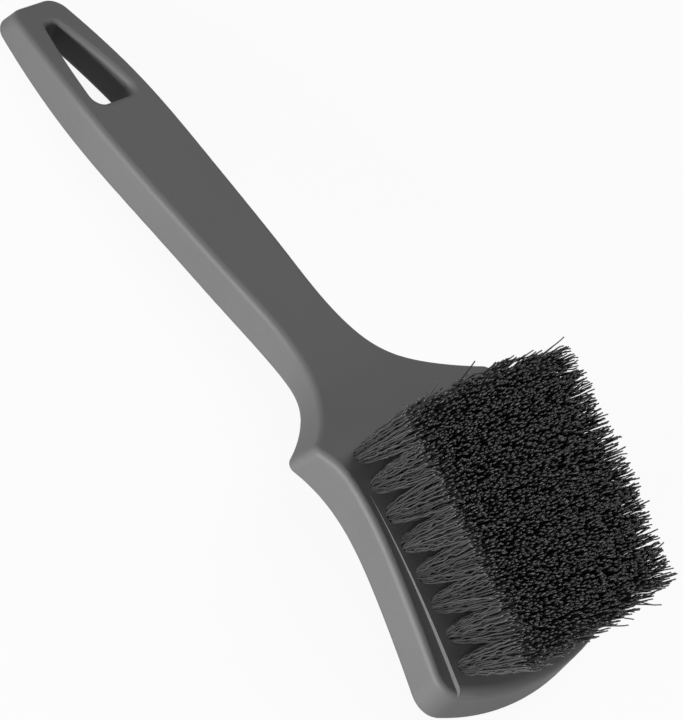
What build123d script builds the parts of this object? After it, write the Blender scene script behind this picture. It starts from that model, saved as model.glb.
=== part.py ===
from build123d import *
import math
import os

os.makedirs("parts", exist_ok=True)

# Wheel brush: a one-piece moulded handle and block, with tufts folded over flat wire anchors.
# Everything is drawn in the block's own frame: +X from the hang hole to the block's far end,
# the tufted face in the plane z = 0, bristles along +Z. The brush is then laid on its back.

# ---- body, mm -----------------------------------------------------------------------------
# side view of the bristle-side face: x, z. The handle drops away behind the block.
FACE = [(0, -54.8), (25, -44.9), (50, -36.6), (80, -26.7), (108, -17.4), (122, -11.2),
        (134, -2.6)]
BLOCK_X = 143.0                    # the face is flat from here on
# side view of the back: x, z
BACK = [(0, -62.2), (25, -55.3), (50, -47.5), (80, -37.5), (106, -28.6), (116, -23.4),
        (124, -18.6), (134, -14.4), (147, -11.5), (168, -10.7), (190, -11.3), (230, -13.5)]
# plan view, half widths: x, y
HANDLE_SIDE = [(0, 8.6), (12, 10.5), (32, 12.4), (60, 12.2), (88, 10.9), (106, 10.6),
               (118, 14.0), (126, 21.2), (133.4, 34.2)]
BLOCK_SIDE = [(133.4, 34.2), (146, 30.8), (161, 30.3), (176, 31.7), (190, 33.5), (222, 38.2)]
END_RADIUS = 79.0                  # the far end is an arc in plan
END_X = 209.0                      # furthest point, on the back edge
END_Z = -12.0                      # height of that point
END_DRAFT = 0.25                   # how far the end wall leans in towards the face, per mm
END_CORNER_R = 7.0
HANDLE_CORNER_R = 5.0
SHOULDER_R = 2.6
FACE_EDGE_R = 1.6
BACK_EDGE_R = 1.2

# ---- raised pad that carries the tufts ----------------------------------------------------
PAD_SIDE = [(144, 27.6), (162, 26.9), (184, 28.1), (206, 30.8), (225, 33.4)]
PAD_ROOT = 5.0
PAD_END_R = 2.5
PAD_END_STEP = 0.1                 # the pad stops this far short of the end wall
RIM_START_X = 148.0                # the rim beside the pad sinks from here to the far end
RIM_SLOPE = 0.027

# ---- hang hole ----------------------------------------------------------------------------
# distance along the handle from its end, half width
HOLE = [(7.2, 1.9), (20.0, 5.2), (34.2, 7.3)]
HOLE_CORNER_R = (1.4, 3.0)         # narrow end, wide end
HOLE_EDGE_R = 1.5

# ---- tufts --------------------------------------------------------------------------------
ROWS, COLUMNS = 8, 7
PITCH = 7.85
FIRST_ROW_X = 139.6
LAST_ROW_SPREAD = 1.06             # the last row follows the wider end of the block
SOCKET_D, SOCKET_DEPTH = 4.2, 7.5
TUFT_D = 4.1
TRIM = 25.4                        # bristle length above the face
TIP_D = 7.4
TIP_LEAN = (0.05, 0.12)            # how far a tuft leans, mm at the tip per mm from the first
                                   # row and per mm from the middle column
ANCHOR = (4.15, 0.4, 1.8)          # flat wire: length across the socket, thickness, height
ANCHOR_LIFT = 0.8                  # below the anchor, where the filaments fold

# ---- resting attitude ---------------------------------------------------------------------
REST_TILT = 13.55                  # degrees about Y
REST_LAND = 0.5                    # depth of the small flats that it rests on


def mirrored(points):
    return [(x, -y) for x, y in reversed(points)]


def along(points, x):
    """Height of a side-view line at x."""
    for (xa, za), (xb, zb) in zip(points, points[1:]):
        if x <= xb:
            return za + (zb - za) * (x - xa) / (xb - xa)
    return points[-1][1]


def side_profile():
    tail = BACK[-1]
    with BuildSketch(Plane.XZ) as sketch:
        with BuildLine():
            Spline(*FACE, (BLOCK_X, 0), tangents=[(1, 0.42), (1, 0)])
            Polyline((BLOCK_X, 0), (RIM_START_X, 0),
                     (tail[0], -RIM_SLOPE * (tail[0] - RIM_START_X)), tail)
            Spline(*reversed(BACK))
            Line(BACK[0], FACE[0])
        make_face()
    return Pos(0, 60, 0) * extrude(sketch.sketch, 120)


def plan_outline():
    tail_x, tail_y = BLOCK_SIDE[-1]
    shoulder_x = BLOCK_SIDE[0][0]
    with BuildSketch() as sketch:
        with BuildLine():
            Spline(*HANDLE_SIDE)
            Spline(*BLOCK_SIDE)
            Line((tail_x, tail_y), (tail_x, -tail_y))
            Spline(*mirrored(BLOCK_SIDE))
            Spline(*mirrored(HANDLE_SIDE))
            Line((0, -HANDLE_SIDE[0][1]), (0, HANDLE_SIDE[0][1]))
        make_face()
        fillet(sketch.vertices().filter_by(lambda v: abs(v.X) < 0.1), HANDLE_CORNER_R)
        fillet(sketch.vertices().filter_by(lambda v: abs(v.X - shoulder_x) < 0.1), SHOULDER_R)
    return Pos(0, 0, -90) * extrude(sketch.sketch, 120)


def end_limit(inset=0.0):
    """Everything up to the leaning, arc-shaped end wall."""
    half = 30.0
    radius = END_RADIUS - inset
    cone = Cone(radius + END_DRAFT * half, radius - END_DRAFT * half, 2 * half)
    centre_x = END_X - END_RADIUS
    return Pos(centre_x, 0, END_Z) * cone + Pos(centre_x - 150, 0, -40) * Box(300, 200, 200)


def loop_edges(body, above):
    """The edges around the face (above=True) or around the back."""
    face = FACE + [(BLOCK_X, 0), (END_X + 20, 0)]
    found = []
    for edge in body.edges():
        at = edge.center()
        upright = abs(edge.tangent_at(0.5).Z) > 0.75
        crossing = abs(at.Y) < 1 and 2 < at.X < 190
        middle = (along(face, at.X) + along(BACK, at.X)) / 2
        if not upright and not crossing and (at.Z > middle) == above:
            found.append(edge)
    return found


def moulded_block():
    body = side_profile() & plan_outline() & end_limit()
    corners = [edge for edge in body.edges()
               if abs(edge.tangent_at(0.5).Z) > 0.7 and edge.center().X > 190]
    body = body.fillet(END_CORNER_R, corners)
    body = body.fillet(BACK_EDGE_R, loop_edges(body, above=False))
    return body.fillet(FACE_EDGE_R, loop_edges(body, above=True))


def tuft_pad():
    with BuildSketch() as sketch:
        with BuildLine():
            Spline(*PAD_SIDE)
            Line(PAD_SIDE[-1], (PAD_SIDE[-1][0], -PAD_SIDE[-1][1]))
            Spline(*mirrored(PAD_SIDE))
            Line((PAD_SIDE[0][0], -PAD_SIDE[0][1]), PAD_SIDE[0])
        make_face()
    pad = Pos(0, 0, -PAD_ROOT) * extrude(sketch.sketch, PAD_ROOT) & end_limit(PAD_END_STEP)
    far = [edge for edge in pad.edges() if abs(edge.center().Z) < 0.01 and edge.center().X > 200]
    return pad.fillet(PAD_END_R, far)


def hang_hole():
    """The opening's tool, square to the handle's face near its end."""
    start, middle, stop = HOLE
    with BuildSketch() as sketch:
        with BuildLine():
            ThreePointArc(start, middle, stop)
            Line(stop, (stop[0], -stop[1]))
            ThreePointArc((stop[0], -stop[1]), (middle[0], -middle[1]), (start[0], -start[1]))
            Line((start[0], -start[1]), start)
        make_face()
        fillet(sketch.vertices().filter_by(lambda v: v.X < middle[0]), HOLE_CORNER_R[0])
        fillet(sketch.vertices().filter_by(lambda v: v.X > middle[0]), HOLE_CORNER_R[1])
    (x0, z0), (x1, z1) = FACE[:2]
    rise = math.degrees(math.atan2(z1 - z0, x1 - x0))
    tool = Pos(0, 0, -40) * extrude(sketch.sketch, 80)
    return Pos(x0, 0, z0) * Rot(0, -rise, 0) * tool


def tuft_places():
    """Row, column, and the place of each tuft on the face."""
    for row in range(ROWS):
        spread = LAST_ROW_SPREAD if row == ROWS - 1 else 1.0
        for column in range(COLUMNS):
            y = (column - (COLUMNS - 1) / 2) * PITCH * spread
            yield row + 1, column + 1, FIRST_ROW_X + row * PITCH, y


def brush_body():
    body = moulded_block() + tuft_pad()
    body = body - hang_hole()
    start, _, stop = HOLE
    rim = [edge for edge in body.edges()
           if start[0] - 4 < edge.center().X < stop[0] and abs(edge.center().Y) < stop[1] + 0.5
           and abs(edge.tangent_at(0.5).Z) < 0.75 and edge.center().X > 2]
    body = body.fillet(HOLE_EDGE_R, rim)
    sockets = [Pos(x, y, -SOCKET_DEPTH) * Cylinder(
        SOCKET_D / 2, SOCKET_DEPTH + 5, align=(Align.CENTER, Align.CENTER, Align.MIN))
        for _, _, x, y in tuft_places()]
    return body - sockets


def anchor(x, y):
    length, thickness, height = ANCHOR
    z = -SOCKET_DEPTH + ANCHOR_LIFT + height / 2
    return Pos(x, y, z) * Box(length, thickness, height)


def tuft(x, y):
    """A tuft's envelope: the doubled filaments in the socket, then the brush that fans out."""
    low = (Align.CENTER, Align.CENTER, Align.MIN)
    root = Pos(0, 0, -SOCKET_DEPTH) * Cylinder(TUFT_D / 2, SOCKET_DEPTH, align=low)
    tip = Pos((x - FIRST_ROW_X) * TIP_LEAN[0], y * TIP_LEAN[1], TRIM)
    fan = loft([Circle(TUFT_D / 2), tip * Circle(TIP_D / 2)])
    return Pos(x, y, 0) * (root + fan) - anchor(x, y)


def laid_down(shape):
    """From the block's own frame to the brush lying on its back, before it is lowered."""
    return Rot(0, REST_TILT, 0) * shape


def main():
    nodes = {"brush_body": laid_down(brush_body())}
    places = list(tuft_places())
    nodes["tuft_anchors"] = laid_down(Compound(children=[anchor(x, y) for _, _, x, y in places]))
    for row, column, x, y in places:
        nodes[f"tuft_r{row}c{column}"] = laid_down(tuft(x, y))

    # the two ends of the back get small flats at the height of the table
    box = nodes["brush_body"].bounding_box()
    table = box.min.Z + REST_LAND
    floor = Pos(box.center().X, 0, table - 50) * Box(400, 200, 100)
    nodes["brush_body"] = nodes["brush_body"] - floor

    # origin: middle of the brush's footprint, on the table
    boxes = [shape.bounding_box() for shape in nodes.values()]
    middle_x = (min(b.min.X for b in boxes) + max(b.max.X for b in boxes)) / 2
    lower = Pos(-middle_x, 0, -table)
    for name, shape in nodes.items():
        placed = lower * shape
        placed.label = name
        export_step(placed, f"parts/{name}.step")
    print("moved by", -middle_x, -table, "body", round(nodes["brush_body"].volume), "mm3")


if __name__ == "__main__":
    main()
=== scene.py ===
import logging
import math
from dataclasses import dataclass, field
from enum import Enum
from typing import Any, Iterator, Union

import bpy
import numpy as np
from mathutils import Matrix, Vector


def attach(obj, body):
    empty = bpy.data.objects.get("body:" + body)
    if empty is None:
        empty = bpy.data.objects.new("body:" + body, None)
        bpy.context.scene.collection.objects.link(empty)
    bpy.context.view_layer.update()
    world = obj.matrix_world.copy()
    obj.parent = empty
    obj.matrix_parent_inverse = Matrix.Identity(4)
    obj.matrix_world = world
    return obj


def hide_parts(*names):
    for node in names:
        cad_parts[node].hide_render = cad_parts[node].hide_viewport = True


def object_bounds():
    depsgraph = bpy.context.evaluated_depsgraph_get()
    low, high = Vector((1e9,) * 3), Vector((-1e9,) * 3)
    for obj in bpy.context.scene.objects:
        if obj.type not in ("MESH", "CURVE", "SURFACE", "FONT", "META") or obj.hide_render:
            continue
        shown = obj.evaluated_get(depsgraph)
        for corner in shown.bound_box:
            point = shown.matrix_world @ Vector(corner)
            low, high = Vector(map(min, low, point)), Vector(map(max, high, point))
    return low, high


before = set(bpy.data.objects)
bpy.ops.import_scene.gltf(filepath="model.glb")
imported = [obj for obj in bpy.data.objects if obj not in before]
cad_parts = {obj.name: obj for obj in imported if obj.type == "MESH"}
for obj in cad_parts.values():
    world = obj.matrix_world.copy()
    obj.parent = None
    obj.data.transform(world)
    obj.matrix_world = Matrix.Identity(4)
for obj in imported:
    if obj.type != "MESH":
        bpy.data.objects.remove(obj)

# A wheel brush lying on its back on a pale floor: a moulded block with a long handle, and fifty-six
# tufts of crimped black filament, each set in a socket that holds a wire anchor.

MM = 0.001
BODY = "root"
CAD_BOX = [list(corner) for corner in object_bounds()]

Colour = tuple[float, float, float, float]
Value = Union["Sock", float, Colour, tuple[float, float, float]]

log = logging.getLogger("wheel_brush")


class Ray(Enum):
    """The kinds of ray that show a backdrop: straight, in gloss and through glass."""

    CAMERA = "Is Camera Ray"
    GLOSSY = "Is Glossy Ray"
    TRANSMISSION = "Is Transmission Ray"


class Sock:
    """An output socket that number expressions can use."""

    def __init__(self, tree: "ShaderTree", socket: bpy.types.NodeSocket) -> None:
        """Wraps one output.

        Args:
            tree: the node tree that the socket is in.
            socket: the output socket.
        """
        self.tree = tree
        self.socket = socket

    def _maths(self, operation: str, first: Value, second: Value) -> "Sock":
        """Adds a Math node.

        Args:
            operation: the node's operation.
            first: its first value.
            second: its second value.

        Returns:
            The node's output.
        """
        return self.tree.node("ShaderNodeMath", {"operation": operation}, {0: first, 1: second})

    def __add__(self, other: Value) -> "Sock":
        """This value plus another."""
        return self._maths("ADD", self, other)

    def __radd__(self, other: Value) -> "Sock":
        """Another value plus this one."""
        return self._maths("ADD", other, self)

    def __sub__(self, other: Value) -> "Sock":
        """This value less another."""
        return self._maths("SUBTRACT", self, other)

    def __rsub__(self, other: Value) -> "Sock":
        """Another value less this one."""
        return self._maths("SUBTRACT", other, self)

    def __mul__(self, other: Value) -> "Sock":
        """This value times another."""
        return self._maths("MULTIPLY", self, other)

    def __rmul__(self, other: Value) -> "Sock":
        """Another value times this one."""
        return self._maths("MULTIPLY", other, self)

    def __pow__(self, other: Value) -> "Sock":
        """This value to a power."""
        return self._maths("POWER", self, other)

    def clamped(self) -> "Sock":
        """This value held between 0 and 1."""
        return self.tree.node("ShaderNodeClamp", {}, {"Value": self})


class ShaderTree:
    """A node tree that is written as calls and expressions."""

    def __init__(self, owner: Union[bpy.types.Material, bpy.types.World]) -> None:
        """Empties the owner's tree.

        Args:
            owner: the material or world that the tree belongs to.
        """
        owner.use_nodes = True
        self.tree = owner.node_tree
        self.tree.nodes.clear()

    def node(self, kind: str, settings: dict[str, Any] | None = None,
             values: dict[str | int, Value] | None = None, out: str | int = 0) -> Sock:
        """Adds a node, sets it up, and fills its inputs.

        Args:
            kind: the node's type.
            settings: the node's own properties, set first; "stops" are a colour ramp's
                positions and grey levels.
            values: a value or a link for each named or numbered input.
            out: the output to hand back.

        Returns:
            The chosen output.
        """
        made = self.tree.nodes.new(kind)
        for key, setting in (settings or {}).items():
            if key == "stops":
                self._ramp(made.color_ramp, setting)
            else:
                setattr(made, key, setting)
        for key, value in (values or {}).items():
            if isinstance(value, Sock):
                self.tree.links.new(value.socket, made.inputs[key])
            else:
                made.inputs[key].default_value = value
        return Sock(self, made.outputs[out]) if made.outputs else Sock(self, None)

    @staticmethod
    def _ramp(ramp: bpy.types.ColorRamp, stops: list[tuple[float, float]]) -> None:
        """Gives a colour ramp its stops.

        Args:
            ramp: the ramp.
            stops: position and grey level of each stop, in order.
        """
        while len(ramp.elements) < len(stops):
            ramp.elements.new(0.5)
        for element, (position, grey) in zip(ramp.elements, stops):
            element.position = position
            element.color = (grey, grey, grey, 1.0)

    def mix(self, first: Value, second: Value, factor: Value) -> Sock:
        """Mixes two colours.

        Args:
            first: the colour at factor 0.
            second: the colour at factor 1.
            factor: the share of the second colour.

        Returns:
            The mixed colour.
        """
        values = {0: factor, 6: first, 7: second}
        return self.node("ShaderNodeMix", {"data_type": "RGBA"}, values, out=2)

    def place(self, stretch: tuple[float, float, float] = (1.0, 1.0, 1.0)) -> Sock:
        """Object coordinates in metres.

        Args:
            stretch: how much each axis is scaled.

        Returns:
            The coordinates.
        """
        at = self.node("ShaderNodeTexCoord", out="Object")
        return self.node("ShaderNodeVectorMath", {"operation": "MULTIPLY"}, {0: at, 1: stretch})

    def noise(self, at: Sock, scale: float, detail: float = 2.0, roughness: float = 0.5) -> Sock:
        """A noise pattern from 0 to 1.

        Args:
            at: where it is read.
            scale: features per metre.
            detail: octaves.
            roughness: weight of the finer octaves.

        Returns:
            The pattern.
        """
        return self.node("ShaderNodeTexNoise", {"noise_dimensions": "3D"},
                         {"Vector": at, "Scale": scale, "Detail": detail, "Roughness": roughness})

    def ramp(self, factor: Sock, *stops: tuple[float, float]) -> Sock:
        """A grey ramp.

        Args:
            factor: the value that runs along the ramp.
            stops: position and grey level of each stop.

        Returns:
            The ramp's colour.
        """
        return self.node("ShaderNodeValToRGB", {"stops": list(stops)}, {"Fac": factor})

    def bump(self, height: Sock, depth: float, strength: float, under: Sock | None = None) -> Sock:
        """Turns a height into a normal.

        Args:
            height: the height pattern, 0 to 1.
            depth: its full height in metres.
            strength: how much of it shows.
            under: a normal that it is laid on.

        Returns:
            The normal.
        """
        values: dict[str | int, Value] = {"Height": height, "Distance": depth, "Strength": strength}
        if under is not None:
            values["Normal"] = under
        return self.node("ShaderNodeBump", {}, values)

    def surface(self, shader: Sock, target: str = "ShaderNodeOutputMaterial") -> None:
        """Connects the finished shader.

        Args:
            shader: the shader.
            target: type of the output node.
        """
        self.node(target, {}, {"Surface": shader})


def grey(level: float) -> Colour:
    """A neutral colour of one level."""
    return (level, level, level, 1.0)


@dataclass(frozen=True)
class MouldedPlastic:
    """Satin grey plastic from a lightly textured mould."""

    name: str = "moulded_plastic"
    light: float = 0.088
    dark: float = 0.056
    roughness: float = 0.60
    gloss: float = 0.36
    ior: float = 1.5
    cloud_scale: float = 38.0
    cloud_share: float = 0.55
    speckle_scale: float = 1500.0
    speckle_share: float = 0.3
    flow_stretch: tuple[float, float, float] = (18.0, 70.0, 70.0)
    flow_share: float = 0.25
    tone_base: float = 0.1
    scuff_stretch: tuple[float, float, float] = (90.0, 1400.0, 1400.0)
    scuff_range: tuple[float, float] = (0.62, 0.78)
    scuff_share: float = 0.22
    scuff_lift: float = 1.35
    sink_scale: float = 60.0
    sink_depth: float = 0.15 * MM
    grain_scale: float = 2300.0
    grain_depth: float = 0.03 * MM

    def material(self) -> bpy.types.Material:
        """Builds the material.

        Returns:
            The finished material.
        """
        material = bpy.data.materials.new(self.name)
        tree = ShaderTree(material)
        at = tree.place()
        cloud = tree.noise(at, self.cloud_scale, 3.0)
        speckle = tree.noise(at, self.speckle_scale, 2.0, 0.6)
        flow = tree.noise(tree.place(self.flow_stretch), 1.0, 4.0, 0.55)
        tone = cloud * self.cloud_share + speckle * self.speckle_share + flow * self.flow_share
        tone = (tone - self.tone_base).clamped()
        colour = tree.mix(grey(self.dark), grey(self.light), tone)

        scuffs = tree.noise(tree.place(self.scuff_stretch), 1.0, 3.0, 0.7)
        scuffs = tree.ramp(scuffs, (self.scuff_range[0], 0.0), (self.scuff_range[1], 1.0))
        colour = tree.mix(colour, grey(self.light * self.scuff_lift), scuffs * self.scuff_share)
        rough = (self.roughness - 0.05) + cloud * 0.06 + speckle * 0.05 + scuffs * 0.05

        grain = tree.noise(at, self.grain_scale, 2.0, 0.55)
        sink = tree.noise(at, self.sink_scale, 1.0)
        normal = tree.bump(sink, self.sink_depth, 0.25)
        normal = tree.bump(grain, self.grain_depth, 0.55, normal)
        tree.surface(tree.node("ShaderNodeBsdfPrincipled", {}, {
            "Base Color": colour, "Roughness": rough, "Normal": normal, "IOR": self.ior,
            "Specular IOR Level": self.gloss}))
        return material


@dataclass(frozen=True)
class BlackFilament:
    """Satin black plastic filament; its rougher cut ends carry a painted highlight."""

    name: str = "black_filament"
    dark: float = 0.012
    light: float = 0.036
    # grey of the painted highlight on the cut ends, where they face the top light
    cut: float = 0.075
    roughness: float = 0.46
    ior: float = 1.49
    mottle_scale: float = 900.0
    draw_stretch: tuple[float, float, float] = (2600.0, 2600.0, 500.0)
    draw_depth: float = 0.01 * MM

    def material(self) -> bpy.types.Material:
        """Builds the material.

        Returns:
            The finished material.
        """
        material = bpy.data.materials.new(self.name)
        tree = ShaderTree(material)
        strand = tree.node("ShaderNodeAttribute", {"attribute_name": "strand"}, out="Fac")
        cut = tree.node("ShaderNodeAttribute", {"attribute_name": "cut_end"}, out="Fac")
        at = tree.place()
        mottle = tree.noise(at, self.mottle_scale, 2.0)
        tone = (strand ** 1.6 * 0.8 + mottle * 0.3 - 0.05).clamped()
        colour = tree.mix(grey(self.dark), grey(self.light), tone)
        # painted highlight: the cut ends are painted paler where their caps face the top light
        ends = tree.mix(grey(self.cut * 0.25), grey(self.cut), strand ** 0.8)
        colour = tree.mix(colour, ends, cut)
        rough = self.roughness + mottle * 0.12 + cut * 0.3
        draw = tree.noise(tree.place(self.draw_stretch), 1.0, 1.0)
        normal = tree.bump(draw, self.draw_depth, 0.4)
        tree.surface(tree.node("ShaderNodeBsdfPrincipled", {}, {
            "Base Color": colour, "Roughness": rough, "Normal": normal, "IOR": self.ior}))
        return material


@dataclass(frozen=True)
class DrawnSteel:
    """Flattened steel wire."""

    name: str = "drawn_steel"
    light: float = 0.62
    dark: float = 0.44
    draw_stretch: tuple[float, float, float] = (6000.0, 300.0, 6000.0)
    draw_depth: float = 0.01 * MM
    tarnish_scale: float = 700.0

    def material(self) -> bpy.types.Material:
        """Builds the material.

        Returns:
            The finished material.
        """
        material = bpy.data.materials.new(self.name)
        tree = ShaderTree(material)
        lines = tree.noise(tree.place(self.draw_stretch), 1.0, 2.0)
        tarnish = tree.noise(tree.place(), self.tarnish_scale, 3.0)
        colour = tree.mix(grey(self.dark), grey(self.light), lines * 0.5 + tarnish * 0.5)
        tree.surface(tree.node("ShaderNodeBsdfPrincipled", {}, {
            "Base Color": colour, "Metallic": 1.0, "Roughness": 0.26 + tarnish * 0.2,
            "Normal": tree.bump(lines, self.draw_depth, 0.3)}))
        return material


@dataclass(frozen=True)
class PaleFloor:
    """A matt white floor that keeps a faint shadow."""

    name: str = "pale_floor"
    level: float = 0.88
    paint_play: float = 0.02
    lift: float = 0.92
    paint_scale: float = 400.0

    def material(self) -> bpy.types.Material:
        """Builds the material.

        Returns:
            The finished material.
        """
        material = bpy.data.materials.new(self.name)
        tree = ShaderTree(material)
        paint = tree.noise(tree.place(), self.paint_scale, 2.0)
        matt = tree.node("ShaderNodeBsdfPrincipled", {}, {
            "Base Color": tree.mix(grey(self.level - self.paint_play), grey(self.level), paint),
            "Roughness": 0.9, "Specular IOR Level": 0.0})
        white = tree.node("ShaderNodeEmission", {}, {"Color": grey(1.0), "Strength": 1.0})
        seen = seen_rays(tree)
        tree.surface(tree.node("ShaderNodeMixShader", {}, {0: seen * self.lift, 1: matt, 2: white}))
        return material


def seen_rays(tree: ShaderTree) -> Sock:
    """One for rays that show a backdrop, nought for the rest.

    Args:
        tree: the tree that asks.

    Returns:
        The 0 or 1 mask.
    """
    camera, glossy, through = (tree.node("ShaderNodeLightPath", out=ray.value) for ray in Ray)
    return (camera + glossy + through).clamped()


@dataclass
class BrushBlock:
    """The moulded block and handle, one CAD node."""

    node: str = "brush_body"
    finish: MouldedPlastic = field(default_factory=MouldedPlastic)

    def build(self) -> list[bpy.types.Object]:
        """Dresses the node.

        Returns:
            The pieces that were dressed.
        """
        return [dress(self.node, self.finish.material())]


@dataclass
class WireAnchors:
    """The flat wires that hold the tufts in their sockets."""

    node: str = "tuft_anchors"
    finish: DrawnSteel = field(default_factory=DrawnSteel)

    def build(self) -> list[bpy.types.Object]:
        """Dresses the node.

        Returns:
            The pieces that were dressed.
        """
        return [dress(self.node, self.finish.material())]


def dress(node: str, material: bpy.types.Material) -> bpy.types.Object:
    """Gives a CAD node its material.

    Args:
        node: the node's name.
        material: the finish for all of its slots.

    Returns:
        The node's object.
    """
    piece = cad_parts[node]
    if not piece.material_slots:
        piece.data.materials.append(material)
    for held in piece.material_slots:
        held.material = material
    return piece


@dataclass
class TuftField:
    """Rows of tufts, each a bundle of crimped filaments that fans out from its socket."""

    rows: int = 8
    columns: int = 7
    rest_tilt: float = math.radians(13.55)
    pitch: float = 7.85 * MM
    trim: float = 25.4 * MM
    trim_play: float = 0.28 * MM
    grid: int = 10
    thickness: float = 0.37 * MM
    root_radius: float = 1.98 * MM
    overlap: float = 1.26
    thickness_range: tuple[float, float] = (0.9, 1.1)
    crimp: float = 0.22 * MM
    crimp_range: tuple[float, float] = (0.4, 1.5)
    crimp_length: float = 7.4 * MM
    length_range: tuple[float, float] = (0.75, 1.35)
    crimp_onset: float = 5.0
    ripple: float = 0.55
    ripple_pace: float = 1.73
    rings: int = 22
    sides: int = 5
    end_tolerance: float = 0.05 * MM
    socket_gap: float = 0.6 * MM
    swing: float = 0.16
    tip_scatter: float = 0.3 * MM
    fan_curve: float = 0.66
    bend_curve: float = 2.4
    edge_zone: float = 0.3
    stray_share: float = 0.12
    stray_reach: float = 1.5 * MM
    stray_mean: float = 0.6
    stray_limit: float = 1.7
    stray_sway: float = 0.5
    edge_reach: float = 0.25 * MM
    tuck: float = 0.55 * MM
    near_tuck: float = 1.2
    bent_tuft: tuple[int, int] = (1, 2)
    bent_line: tuple[tuple[float, float, float], ...] = (
        (0.0, -1.6, -0.4), (12.0, -2.7, -1.0), (19.0, -4.1, -1.3),
        (22.0, -5.3, -0.9), (25.4, -7.7, 1.4))
    seed: int = 417
    finish: BlackFilament = field(default_factory=BlackFilament)

    def __post_init__(self) -> None:
        """Works out the directions of the pad: along, across and out of it."""
        c, s = math.cos(self.rest_tilt), math.sin(self.rest_tilt)
        self.along = np.array((c, 0.0, -s))
        self.across = np.array((0.0, 1.0, 0.0))
        self.out = np.array((s, 0.0, c))

    def names(self) -> Iterator[tuple[int, int, str]]:
        """Row, column and node name of each tuft."""
        for row in range(1, self.rows + 1):
            for column in range(1, self.columns + 1):
                yield row, column, f"tuft_r{row}c{column}"

    def axis(self, node: str) -> tuple[np.ndarray, np.ndarray, float]:
        """Finds a tuft's ends from its CAD solid.

        Args:
            node: the tuft's node.

        Returns:
            The centre of its foot and of its trimmed end, in along, across and out
            coordinates, and the depth of its socket.
        """
        points = np.array([v.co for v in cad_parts[node].data.vertices], float)
        local = points @ np.stack((self.along, self.across, self.out), axis=1)
        ends = []
        for height in (local[:, 2].min(), local[:, 2].max()):
            ring = local[abs(local[:, 2] - height) < self.end_tolerance]
            ends.append((ring.min(0) + ring.max(0)) / 2)
        foot, top = ends
        return foot, top, top[2] - foot[2] - self.trim

    def ends(self, row: int, column: int,
             rng: np.random.Generator) -> tuple[np.ndarray, ...]:
        """Places each filament in the socket and at the trimmed end.

        Args:
            row: the tuft's row, from 1.
            column: the tuft's column, from 1.
            rng: the source of chance.

        Returns:
            The filaments' cell coordinates, -1 to 1 both ways, then their offsets along and
            across from the tuft's middle, in the socket and at the trimmed end.
        """
        cell = (np.arange(self.grid) + 0.5) / self.grid * 2 - 1
        u, v = (a.ravel() for a in np.meshgrid(cell, cell, indexing="ij"))
        count = u.size
        u = u + rng.uniform(-1, 1, count) / self.grid
        v = v + rng.uniform(-1, 1, count) / self.grid

        # a disc of places in the socket, a square with rounded corners at the trimmed end
        swing = rng.normal(0, self.swing, (2, count))
        du, dv = np.clip(u + swing[0], -1, 1), np.clip(v + swing[1], -1, 1)
        root_a = du * np.sqrt(1 - dv ** 2 / 2) * self.root_radius
        root_c = dv * np.sqrt(1 - du ** 2 / 2) * self.root_radius
        tip_a = u * np.sqrt(1 - v ** 2 / 4) * self.pitch / 2 * self.overlap
        tip_c = v * np.sqrt(1 - u ** 2 / 4) * self.pitch / 2 * self.overlap
        tip_a = tip_a + rng.normal(0, self.tip_scatter, count)
        tip_c = tip_c + rng.normal(0, self.tip_scatter, count)

        # tufts near the two corners on the last column's side are drawn in
        far = self.tuck * max(0, row - self.rows + 3) * max(0, column - self.columns + 3)
        near = self.tuck * self.near_tuck * max(0, 3 - row) * max(0, column - self.columns + 2)
        return u, v, root_a, root_c, tip_a - far * 0.5 + near, tip_c - far

    def strays(self, row: int, column: int, u: np.ndarray, v: np.ndarray,
               rng: np.random.Generator) -> tuple[np.ndarray, np.ndarray]:
        """How far filaments at the edge of the field stand away from it.

        Args:
            row: the tuft's row, from 1.
            column: the tuft's column, from 1.
            u: the filaments' cell coordinates along the field.
            v: the filaments' cell coordinates across it.
            rng: the source of chance.

        Returns:
            The shifts of the trimmed ends, along and across.
        """
        count = u.size
        edge = self.edge_zone
        push_a = (row == self.rows) * (u > edge) * 1.0 - (row == 1) * (u < -edge) * 1.0
        push_c = (column == self.columns) * (v > edge) * 1.0 - (column == 1) * (v < -edge) * 1.0
        chosen = rng.uniform(0, 1, count) < self.stray_share
        far = rng.exponential(self.stray_reach * self.stray_mean, count)
        reach = np.where(chosen, far, self.edge_reach)
        reach = np.minimum(reach, self.stray_reach * self.stray_limit)
        side = rng.normal(0, self.stray_sway, (2, count)) * reach * (abs(push_a) + abs(push_c) > 0)
        return push_a * reach + side[0], push_c * reach + side[1]

    def paths(self, node: str, row: int, column: int, rng: np.random.Generator) -> np.ndarray:
        """Centrelines of a tuft's filaments.

        Args:
            node: the tuft's node.
            row: its row, from 1.
            column: its column, from 1.
            rng: the source of chance.

        Returns:
            An array of filament, ring and local coordinate.
        """
        foot, top, depth = self.axis(node)
        u, v, root_a, root_c, tip_a, tip_c = self.ends(row, column, rng)
        stray_a, stray_c = self.strays(row, column, u, v, rng)
        count = u.size

        height = self.trim + rng.normal(0, self.trim_play, count)
        inside = np.array((-depth + self.socket_gap, 0.0))
        above = np.linspace(0, 1, self.rings - 1)[1:]
        t = np.concatenate((np.zeros(2), above))
        z = np.concatenate((np.tile(inside, (count, 1)), height[:, None] * above[None, :]), axis=1)
        fan = t ** self.fan_curve
        bend = t ** self.bend_curve
        lean = top - foot
        a = (foot[0] + lean[0] * t)[None, :] + root_a[:, None] * (1 - fan) + tip_a[:, None] * fan
        c = (foot[1] + lean[1] * t)[None, :] + root_c[:, None] * (1 - fan) + tip_c[:, None] * fan
        a += stray_a[:, None] * bend
        c += stray_c[:, None] * bend

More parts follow.
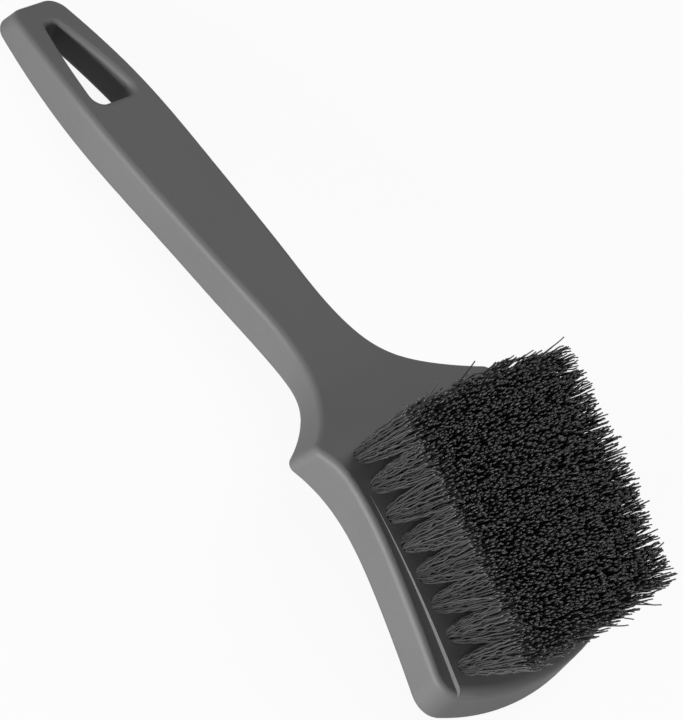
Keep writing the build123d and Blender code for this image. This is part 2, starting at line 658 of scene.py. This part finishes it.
        # crimp: a long wave and a shorter one, each starting anywhere
        turn = rng.uniform(0, math.tau, count)
        pace = z / (self.crimp_length * rng.uniform(*self.length_range, count))[:, None] * math.tau
        shift = rng.uniform(0, math.tau, (2, count))[:, :, None]
        wave = np.sin(pace + shift[0]) + self.ripple * np.sin(self.ripple_pace * pace + shift[1])
        onset = np.clip(t * self.crimp_onset, 0, 1)
        swell = self.crimp * rng.uniform(*self.crimp_range, count)[:, None] * onset * wave
        a += swell * np.cos(turn)[:, None]
        c += swell * np.sin(turn)[:, None]
        if (row, column) == self.bent_tuft:
            rise, along, across = np.array(self.bent_line).T * MM
            a[0] = foot[0] + np.interp(z[0], rise, along)
            c[0] = foot[1] + np.interp(z[0], rise, across)
        return np.stack((a, c, z + foot[2] + depth), axis=2)

    def mesh(self, name: str, paths: np.ndarray, rng: np.random.Generator) -> bpy.types.Mesh:
        """Sweeps a round section along each centreline.

        Args:
            name: the mesh's name.
            paths: the centrelines.
            rng: the source of chance.

        Returns:
            The mesh, with its strand and cut_end attributes and its bake map.
        """
        count, rings, _ = paths.shape
        sides = self.sides
        angle = np.arange(sides) * math.tau / sides
        start = rng.uniform(0, math.tau, count)[:, None]
        radius = (self.thickness / 2 * rng.uniform(*self.thickness_range, count))[:, None, None]
        turned = angle[None, :] + start
        spot = np.repeat(paths[:, :, None, :], sides, axis=2)
        spot[..., 0] += radius * np.cos(turned)[:, None, :]
        spot[..., 1] += radius * np.sin(turned)[:, None, :]
        verts = spot.reshape(-1, 3) @ np.stack((self.along, self.across, self.out))

        base = (np.arange(count) * rings * sides)[:, None, None]
        low = base + (np.arange(rings - 1) * sides)[None, :, None]
        k = np.arange(sides)[None, None, :]
        k2 = (np.arange(sides) + 1)[None, None, :] % sides
        quads = np.stack((low + k, low + k2, low + sides + k2, low + sides + k), axis=3)
        quads = quads.reshape(-1, 4)
        lids = base[:, 0] + (rings - 1) * sides + np.arange(sides)[None, :]
        feet = base[:, 0] + np.arange(sides)[None, ::-1]
        mesh = bpy.data.meshes.new(name)
        mesh.from_pydata(verts.tolist(), [], quads.tolist() + lids.tolist() + feet.tolist())

        smooth = np.concatenate((np.ones(len(quads), bool), np.zeros(2 * count, bool)))
        mesh.polygons.foreach_set("use_smooth", smooth)
        strand = np.repeat(rng.uniform(0, 1, count), rings * sides).astype(np.float32)
        mesh.attributes.new("strand", "FLOAT", "POINT").data.foreach_set("value", strand)
        cut = np.concatenate((np.zeros(len(quads)), np.ones(2 * count))).astype(np.float32)
        mesh.attributes.new("cut_end", "FLOAT", "FACE").data.foreach_set("value", cut)
        self._unwrap(mesh, count, rings)
        return mesh

    def _unwrap(self, mesh: bpy.types.Mesh, count: int, rings: int) -> None:
        """Lays each filament out as one upright strip of the bake map.

        Args:
            mesh: the tuft's mesh, its side faces first, then its lids and its feet.
            count: filaments.
            rings: rings of each filament.
        """
        margin, strip, wall_top = 0.1, 0.8, 0.88
        disc_width, disc_height, lid_level, foot_level = 0.35, 0.02, 0.965, 0.915
        sides, width = self.sides, 1.0 / count
        i = np.arange(count)[:, None, None, None] * width
        r = np.arange(rings - 1)[None, :, None, None]
        k = np.arange(sides)[None, None, :, None]
        across = np.array((0, 1, 1, 0))[None, None, None, :]
        up = np.array((0, 0, 1, 1))[None, None, None, :]
        u = i + (margin + strip * (k + across) / sides) * width + 0 * r
        v = (r + up) / (rings - 1) * wall_top + 0 * (i + k)
        walls = np.stack((u, v), axis=4).reshape(-1, 2)
        angle = np.arange(sides) * math.tau / sides
        disc = np.stack((np.cos(angle) * disc_width * width, np.sin(angle) * disc_height), axis=1)
        middle = (np.arange(count) + 0.5)[:, None] * width
        lids, feet = (np.stack((middle + disc[None, :, 0], level + disc[None, :, 1] + 0 * middle),
                               axis=2).reshape(-1, 2) for level in (lid_level, foot_level))
        uv = np.concatenate((walls, lids, feet)).astype(np.float32).ravel()
        mesh.uv_layers.new(name="OFBake").data.foreach_set("uv", uv)

    def build(self) -> list[bpy.types.Object]:
        """Builds every tuft in its node's place.

        Returns:
            The tufts.
        """
        material = self.finish.material()
        rng = np.random.default_rng(self.seed)
        made = []
        for row, column, node in self.names():
            paths = self.paths(node, row, column, rng)
            mesh = self.mesh(f"filaments_r{row}c{column}", paths, rng)
            mesh.materials.append(material)
            piece = bpy.data.objects.new(mesh.name, mesh)
            bpy.context.scene.collection.objects.link(piece)
            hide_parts(node)
            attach(piece, BODY)
            made.append(piece)
        return made


@dataclass(frozen=True)
class SoftLight:
    """A soft light panel that looks at the brush."""

    name: str
    azimuth: float
    elevation: float
    distance: float
    width: float
    height: float
    level: float

    def build(self, aim: Vector) -> None:
        """Makes the lamp.

        Args:
            aim: the point that it looks at.
        """
        lamp = bpy.data.lights.new(self.name, "AREA")
        lamp.shape = "RECTANGLE"
        lamp.size, lamp.size_y = self.width, self.height
        lamp.energy = self.level * (math.pi * self.distance) ** 2
        towards = direction(self.azimuth, self.elevation)
        holder = bpy.data.objects.new(self.name, lamp)
        holder.location = aim + towards * self.distance
        holder.rotation_mode = "QUATERNION"
        holder.rotation_quaternion = towards.to_track_quat("Z", "Y")
        bpy.context.scene.collection.objects.link(holder)


def direction(azimuth: float, elevation: float) -> Vector:
    """Unit vector from its bearing from +X and its height, both in degrees."""
    a, e = math.radians(azimuth), math.radians(elevation)
    return Vector((math.cos(e) * math.cos(a), math.cos(e) * math.sin(a), math.sin(e)))


@dataclass
class Studio:
    """Floor, lights, surroundings and camera."""

    aim: tuple[float, float, float] = (17.992 * MM, -7.534 * MM, 25.401 * MM)
    azimuth: float = -73.714
    elevation: float = 42.059
    roll: float = 42.064
    distance: float = 962.17 * MM
    lens: float = 200.58
    ambient: float = 0.17
    light_aim: tuple[float, float, float] = (0.0, 0.0, 20.0 * MM)
    clip: tuple[float, float] = (0.05, 20.0)
    floor_size: float = 8.0
    floor_gap: float = 0.1 * MM
    floor: PaleFloor = field(default_factory=PaleFloor)
    lights: tuple[SoftLight, ...] = (
        SoftLight("side_light", -84.0, 6.5, 1.3, 0.9, 0.22, 2.45),
        SoftLight("top_light", 110.0, 58.0, 1.6, 1.0, 0.9, 0.42),
    )

    def build(self) -> None:
        """Makes the whole studio."""
        self._floor()
        for light in self.lights:
            light.build(Vector(self.light_aim))
        self._surroundings()
        self._camera()

    def _floor(self) -> None:
        """Lays the floor just under the brush."""
        half = self.floor_size / 2
        mesh = bpy.data.meshes.new("floor")
        corners = [(-half, -half, 0), (half, -half, 0), (half, half, 0), (-half, half, 0)]
        mesh.from_pydata(corners, [], [(0, 1, 2, 3)])
        mesh.materials.append(self.floor.material())
        floor = bpy.data.objects.new("floor", mesh)
        floor.location.z = CAD_BOX[0][2] - self.floor_gap
        bpy.context.scene.collection.objects.link(floor)

    def _surroundings(self) -> None:
        """White where it is seen, a plain grey level where it lights."""
        world = bpy.data.worlds.new("surroundings")
        bpy.context.scene.world = world
        tree = ShaderTree(world)
        seen = seen_rays(tree)
        soft = tree.node("ShaderNodeBackground", {}, {"Color": grey(1.0), "Strength": self.ambient})
        white = tree.node("ShaderNodeBackground", {}, {"Color": grey(1.0), "Strength": 1.0})
        tree.surface(tree.node("ShaderNodeMixShader", {}, {0: seen, 1: soft, 2: white}),
                     "ShaderNodeOutputWorld")

    def _camera(self) -> None:
        """Sets up the camera."""
        back = direction(self.azimuth, self.elevation)
        level = Vector((0, 0, 1)).cross(back).normalized()
        upright = back.cross(level)
        turn = math.radians(self.roll)
        right = level * math.cos(turn) + upright * math.sin(turn)
        up = upright * math.cos(turn) - level * math.sin(turn)
        data = bpy.data.cameras.new("camera")
        data.lens = self.lens
        data.clip_start, data.clip_end = self.clip
        camera = bpy.data.objects.new("camera", data)
        place = Matrix((right, up, back)).transposed().to_4x4()
        place.translation = Vector(self.aim) + back * self.distance
        camera.matrix_world = place
        bpy.context.scene.collection.objects.link(camera)
        bpy.context.scene.camera = camera


def main() -> None:
    """Builds the brush and its studio, and reports each piece."""
    logging.basicConfig(level=logging.INFO, format="%(name)s: %(message)s")
    for part in (BrushBlock(), WireAnchors(), TuftField()):
        for piece in part.build():
            log.info("%s: %s with %d faces", type(part).__name__, piece.name,
                     len(piece.data.polygons))
    Studio().build()
    bpy.context.scene.view_settings.view_transform = "Standard"
    bpy.context.view_layer.update()


if __name__ == "__main__":
    main()
